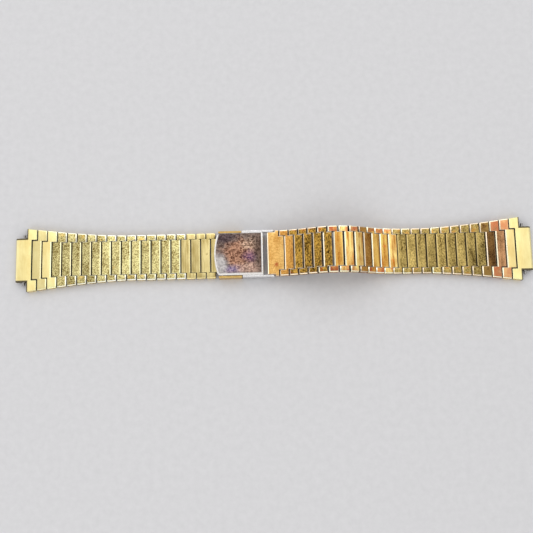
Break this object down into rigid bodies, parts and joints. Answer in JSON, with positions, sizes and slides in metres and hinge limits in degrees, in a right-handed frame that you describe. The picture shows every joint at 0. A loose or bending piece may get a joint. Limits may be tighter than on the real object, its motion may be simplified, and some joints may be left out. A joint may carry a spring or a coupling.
{
  "type": "watch bracelet",
  "caption": "Tapered metal watch bracelet of nested links with a folding clasp, end-piece tongues and sprung bars for the lugs of a case.",
  "frame": {"origin": "centre of the bottom leaf's underside, under the closed clasp", "axes": "+X along the band towards the half that hangs from the cover's arms, +Y across the band, +Z out of the cover"},
  "size_m": [0.1613, 0.02, 0.0094],
  "materials": {
    "gold_link": "satin",
    "light_gold": "satin",
    "gold_leaf": "polished",
    "steel_leaf": "brushed",
    "steel_cover": "worn",
    "pin_steel": "turned"
  },
  "bodies": {
    "bottom_leaf": {"bottom_leaf": "gold_leaf", "pin_left_half": "pin_steel", "pin_low_fold": "pin_steel"},
    "middle_leaf": {"middle_leaf": "steel_leaf"},
    "cover_leaf": {"cover_leaf": "steel_cover", "pin_high_fold": "pin_steel", "pin_right_half": "pin_steel"},
    "clasp_link_left": {"clasp_link_left": "gold_link"},
    "link_left_18": {"link_left_18": "gold_link"},
    "link_left_17": {"link_left_17": "gold_link"},
    "link_left_16": {"link_left_16": "gold_link"},
    "link_left_15": {"link_left_15": "gold_link"},
    "link_left_14": {"link_left_14": "gold_link"},
    "link_left_13": {"link_left_13": "gold_link"},
    "link_left_12": {"link_left_12": "gold_link"},
    "link_left_11": {"link_left_11": "gold_link"},
    "link_left_10": {"link_left_10": "gold_link"},
    "link_left_09": {"link_left_09": "gold_link"},
    "link_left_08": {"link_left_08": "gold_link"},
    "link_left_07": {"link_left_07": "gold_link"},
    "link_left_06": {"link_left_06": "gold_link"},
    "link_left_05": {"link_left_05": "gold_link"},
    "link_left_04": {"link_left_04": "gold_link"},
    "link_left_03": {"link_left_03": "gold_link"},
    "link_left_02": {"link_left_02": "gold_link"},
    "link_left_01": {"link_left_01": "gold_link"},
    "end_piece_left": {"end_piece_left": "light_gold"},
    "clasp_link_right": {"clasp_link_right": "gold_link"},
    "link_right_24": {"link_right_24": "gold_link"},
    "link_right_23": {"link_right_23": "gold_link"},
    "link_right_22": {"link_right_22": "gold_link"},
    "link_right_21": {"link_right_21": "gold_link"},
    "link_right_20": {"link_right_20": "gold_link"},
    "link_right_19": {"link_right_19": "gold_link"},
    "link_right_18": {"link_right_18": "gold_link"},
    "link_right_17": {"link_right_17": "gold_link"},
    "link_right_16": {"link_right_16": "gold_link"},
    "link_right_15": {"link_right_15": "gold_link"},
    "link_right_14": {"link_right_14": "gold_link"},
    "link_right_13": {"link_right_13": "gold_link"},
    "link_right_12": {"link_right_12": "gold_link"},
    "link_right_11": {"link_right_11": "gold_link"},
    "link_right_10": {"link_right_10": "gold_link"},
    "link_right_09": {"link_right_09": "gold_link"},
    "link_right_08": {"link_right_08": "gold_link"},
    "link_right_07": {"link_right_07": "gold_link"},
    "link_right_06": {"link_right_06": "gold_link"},
    "link_right_05": {"link_right_05": "gold_link"},
    "link_right_04": {"link_right_04": "gold_link"},
    "link_right_03": {"link_right_03": "gold_link"},
    "link_right_02": {"link_right_02": "gold_link"},
    "link_right_01": {"link_right_01": "gold_link"},
    "end_piece_right": {"end_piece_right": "light_gold"},
    "spring_tube_left": {"spring_tube_left": "pin_steel"},
    "spring_tip_left_back": {"spring_tip_left_back": "pin_steel"},
    "spring_tip_left_front": {"spring_tip_left_front": "pin_steel"},
    "spring_tube_right": {"spring_tube_right": "pin_steel"},
    "spring_tip_right_back": {"spring_tip_right_back": "pin_steel"},
    "spring_tip_right_front": {"spring_tip_right_front": "pin_steel"}
  },
  "joints": [
    {"name": "low_fold", "type": "hinge", "parent": "bottom_leaf", "child": "middle_leaf", "pos_m": [0.00605, 0, 0.00095], "axis": [0, 1, 0], "range_deg": [0, 155]},
    {"name": "high_fold", "type": "hinge", "parent": "middle_leaf", "child": "cover_leaf", "pos_m": [-0.00605, 0, 0.00275], "axis": [0, 1, 0], "range_deg": [-155, 0]},
    {"name": "clasp_link_left_hinge", "type": "hinge", "parent": "bottom_leaf", "child": "clasp_link_left", "pos_m": [-0.00583, 0, 0.001], "axis": [0, -1, 0], "range_deg": [-4, 20]},
    {"name": "link_left_18_hinge", "type": "hinge", "parent": "clasp_link_left", "child": "link_left_18", "pos_m": [-0.00893, 0, 0.001], "axis": [0, -1, 0], "range_deg": [-8, 20.4]},
    {"name": "link_left_17_hinge", "type": "hinge", "parent": "link_left_18", "child": "link_left_17", "pos_m": [-0.01203, 0, 0.001], "axis": [0, -1, 0], "range_deg": [-8, 20.8]},
    {"name": "link_left_16_hinge", "type": "hinge", "parent": "link_left_17", "child": "link_left_16", "pos_m": [-0.01513, 0, 0.001], "axis": [0, -1, 0], "range_deg": [-8, 21.2]},
    {"name": "link_left_15_hinge", "type": "hinge", "parent": "link_left_16", "child": "link_left_15", "pos_m": [-0.01823, 0, 0.001], "axis": [0, -1, 0], "range_deg": [-8, 21.6]},
    {"name": "link_left_14_hinge", "type": "hinge", "parent": "link_left_15", "child": "link_left_14", "pos_m": [-0.02133, 0, 0.001], "axis": [0, -1, 0], "range_deg": [-8, 22.1]},
    {"name": "link_left_13_hinge", "type": "hinge", "parent": "link_left_14", "child": "link_left_13", "pos_m": [-0.02443, 0, 0.001], "axis": [0, -1, 0], "range_deg": [-8, 22.6]},
    {"name": "link_left_12_hinge", "type": "hinge", "parent": "link_left_13", "child": "link_left_12", "pos_m": [-0.02753, 0, 0.001], "axis": [0, -1, 0], "range_deg": [-8, 23.2]},
    {"name": "link_left_11_hinge", "type": "hinge", "parent": "link_left_12", "child": "link_left_11", "pos_m": [-0.03063, 0, 0.001], "axis": [0, -1, 0], "range_deg": [-8, 23.8]},
    {"name": "link_left_10_hinge", "type": "hinge", "parent": "link_left_11", "child": "link_left_10", "pos_m": [-0.03373, 0, 0.001], "axis": [0, -1, 0], "range_deg": [-8, 24.4]},
    {"name": "link_left_09_hinge", "type": "hinge", "parent": "link_left_10", "child": "link_left_09", "pos_m": [-0.03683, 0, 0.001], "axis": [0, -1, 0], "range_deg": [-8, 25.1]},
    {"name": "link_left_08_hinge", "type": "hinge", "parent": "link_left_09", "child": "link_left_08", "pos_m": [-0.03993, 0, 0.001], "axis": [0, -1, 0], "range_deg": [-8, 25.8]},
    {"name": "link_left_07_hinge", "type": "hinge", "parent": "link_left_08", "child": "link_left_07", "pos_m": [-0.04303, 0, 0.001], "axis": [0, -1, 0], "range_deg": [-8, 26.7]},
    {"name": "link_left_06_hinge", "type": "hinge", "parent": "link_left_07", "child": "link_left_06", "pos_m": [-0.04613, 0, 0.001], "axis": [0, -1, 0], "range_deg": [-8, 27.6]},
    {"name": "link_left_05_hinge", "type": "hinge", "parent": "link_left_06", "child": "link_left_05", "pos_m": [-0.04923, 0, 0.001], "axis": [0, -1, 0], "range_deg": [-8, 28.6]},
    {"name": "link_left_04_hinge", "type": "hinge", "parent": "link_left_05", "child": "link_left_04", "pos_m": [-0.05233, 0, 0.001], "axis": [0, -1, 0], "range_deg": [-8, 29.7]},
    {"name": "link_left_03_hinge", "type": "hinge", "parent": "link_left_04", "child": "link_left_03", "pos_m": [-0.05543, 0, 0.001], "axis": [0, -1, 0], "range_deg": [-8, 31]},
    {"name": "link_left_02_hinge", "type": "hinge", "parent": "link_left_03", "child": "link_left_02", "pos_m": [-0.05853, 0, 0.001], "axis": [0, -1, 0], "range_deg": [-8, 42]},
    {"name": "link_left_01_hinge", "type": "hinge", "parent": "link_left_02", "child": "link_left_01", "pos_m": [-0.06163, 0, 0.001], "axis": [0, -1, 0], "range_deg": [-8, 42]},
    {"name": "end_piece_left_hinge", "type": "hinge", "parent": "link_left_01", "child": "end_piece_left", "pos_m": [-0.06473, 0, 0.001], "axis": [0, -1, 0], "range_deg": [-8, 42]},
    {"name": "clasp_link_right_hinge", "type": "hinge", "parent": "cover_leaf", "child": "clasp_link_right", "pos_m": [0.0093, 0, 0.0029], "axis": [0, 1, 0], "range_deg": [-1, 19]},
    {"name": "link_right_24_hinge", "type": "hinge", "parent": "clasp_link_right", "child": "link_right_24", "pos_m": [0.01238, 0, 0.00328], "axis": [0, 1, 0], "range_deg": [-1, 22]},
    {"name": "link_right_23_hinge", "type": "hinge", "parent": "link_right_24", "child": "link_right_23", "pos_m": [0.01538, 0, 0.00403], "axis": [0, 1, 0], "range_deg": [-2, 24.7]},
    {"name": "link_right_22_hinge", "type": "hinge", "parent": "link_right_23", "child": "link_right_22", "pos_m": [0.0183, 0, 0.00509], "axis": [0, 1, 0], "range_deg": [-5, 22]},
    {"name": "link_right_21_hinge", "type": "hinge", "parent": "link_right_22", "child": "link_right_21", "pos_m": [0.02115, 0, 0.0063], "axis": [0, 1, 0], "range_deg": [-10, 17.3]},
    {"name": "link_right_20_hinge", "type": "hinge", "parent": "link_right_21", "child": "link_right_20", "pos_m": [0.02405, 0, 0.00741], "axis": [0, 1, 0], "range_deg": [-15, 12.6]},
    {"name": "link_right_19_hinge", "type": "hinge", "parent": "link_right_20", "child": "link_right_19", "pos_m": [0.02705, 0, 0.00816], "axis": [0, 1, 0], "range_deg": [-19, 9]},
    {"name": "link_right_18_hinge", "type": "hinge", "parent": "link_right_19", "child": "link_right_18", "pos_m": [0.03015, 0, 0.00832], "axis": [0, 1, 0], "range_deg": [-20, 8.4]},
    {"name": "link_right_17_hinge", "type": "hinge", "parent": "link_right_18", "child": "link_right_17", "pos_m": [0.03321, 0, 0.00784], "axis": [0, 1, 0], "range_deg": [-22, 6.8]},
    {"name": "link_right_16_hinge", "type": "hinge", "parent": "link_right_17", "child": "link_right_16", "pos_m": [0.03606, 0, 0.00663], "axis": [0, 1, 0], "range_deg": [-16, 13.2]},
    {"name": "link_right_15_hinge", "type": "hinge", "parent": "link_right_16", "child": "link_right_15", "pos_m": [0.03872, 0, 0.00503], "axis": [0, 1, 0], "range_deg": [-6, 23.6]},
    {"name": "link_right_14_hinge", "type": "hinge", "parent": "link_right_15", "child": "link_right_14", "pos_m": [0.04143, 0, 0.00353], "axis": [0, 1, 0], "range_deg": [-1, 29.1]},
    {"name": "link_right_13_hinge", "type": "hinge", "parent": "link_right_14", "child": "link_right_13", "pos_m": [0.04431, 0, 0.00237], "axis": [0, 1, 0], "range_deg": [-1, 29.6]},
    {"name": "link_right_12_hinge", "type": "hinge", "parent": "link_right_13", "child": "link_right_12", "pos_m": [0.0473, 0, 0.00156], "axis": [0, 1, 0], "range_deg": [-1, 30.2]},
    {"name": "link_right_11_hinge", "type": "hinge", "parent": "link_right_12", "child": "link_right_11", "pos_m": [0.05037, 0, 0.00113], "axis": [0, 1, 0], "range_deg": [-2.43, 29.37]},
    {"name": "link_right_10_hinge", "type": "hinge", "parent": "link_right_11", "child": "link_right_10", "pos_m": [0.05347, 0, 0.001], "axis": [0, 1, 0], "range_deg": [-5.57, 26.83]},
    {"name": "link_right_09_hinge", "type": "hinge", "parent": "link_right_10", "child": "link_right_09", "pos_m": [0.05657, 0, 0.001], "axis": [0, 1, 0], "range_deg": [-8, 25.1]},
    {"name": "link_right_08_hinge", "type": "hinge", "parent": "link_right_09", "child": "link_right_08", "pos_m": [0.05967, 0, 0.001], "axis": [0, 1, 0], "range_deg": [-8, 25.8]},
    {"name": "link_right_07_hinge", "type": "hinge", "parent": "link_right_08", "child": "link_right_07", "pos_m": [0.06277, 0, 0.001], "axis": [0, 1, 0], "range_deg": [-8, 26.7]},
    {"name": "link_right_06_hinge", "type": "hinge", "parent": "link_right_07", "child": "link_right_06", "pos_m": [0.06587, 0, 0.001], "axis": [0, 1, 0], "range_deg": [-8, 27.6]},
    {"name": "link_right_05_hinge", "type": "hinge", "parent": "link_right_06", "child": "link_right_05", "pos_m": [0.06897, 0, 0.001], "axis": [0, 1, 0], "range_deg": [-8, 28.6]},
    {"name": "link_right_04_hinge", "type": "hinge", "parent": "link_right_05", "child": "link_right_04", "pos_m": [0.07207, 0, 0.001], "axis": [0, 1, 0], "range_deg": [-8, 29.7]},
    {"name": "link_right_03_hinge", "type": "hinge", "parent": "link_right_04", "child": "link_right_03", "pos_m": [0.07517, 0, 0.001], "axis": [0, 1, 0], "range_deg": [-8, 31]},
    {"name": "link_right_02_hinge", "type": "hinge", "parent": "link_right_03", "child": "link_right_02", "pos_m": [0.07827, 0, 0.001], "axis": [0, 1, 0], "range_deg": [-8, 42]},
    {"name": "link_right_01_hinge", "type": "hinge", "parent": "link_right_02", "child": "link_right_01", "pos_m": [0.08137, 0, 0.001], "axis": [0, 1, 0], "range_deg": [-8, 42]},
    {"name": "end_piece_right_hinge", "type": "hinge", "parent": "link_right_01", "child": "end_piece_right", "pos_m": [0.08447, 0, 0.001], "axis": [0, 1, 0], "range_deg": [-8, 42]},
    {"name": "spring_tube_left_turn", "type": "hinge", "parent": "end_piece_left", "child": "spring_tube_left", "pos_m": [-0.06828, 0, 0.001], "axis": [0, 1, 0], "continuous": true},
    {"name": "spring_tip_left_back_press", "type": "slide", "parent": "spring_tube_left", "child": "spring_tip_left_back", "axis": [0, -1, 0], "range_m": [0, 0.0009], "stiffness_N_per_m": 400, "springref_m": -0.002},
    {"name": "spring_tip_left_front_press", "type": "slide", "parent": "spring_tube_left", "child": "spring_tip_left_front", "axis": [0, 1, 0], "range_m": [0, 0.0009], "stiffness_N_per_m": 400, "springref_m": -0.002},
    {"name": "spring_tube_right_turn", "type": "hinge", "parent": "end_piece_right", "child": "spring_tube_right", "pos_m": [0.08802, 0, 0.001], "axis": [0, 1, 0], "continuous": true},
    {"name": "spring_tip_right_back_press", "type": "slide", "parent": "spring_tube_right", "child": "spring_tip_right_back", "axis": [0, -1, 0], "range_m": [0, 0.0009], "stiffness_N_per_m": 400, "springref_m": -0.002},
    {"name": "spring_tip_right_front_press", "type": "slide", "parent": "spring_tube_right", "child": "spring_tip_right_front", "axis": [0, 1, 0], "range_m": [0, 0.0009], "stiffness_N_per_m": 400, "springref_m": -0.002}
  ],
  "couplings": [
    {"joint": "high_fold", "follows": "low_fold", "ratio": -1}
  ]
}
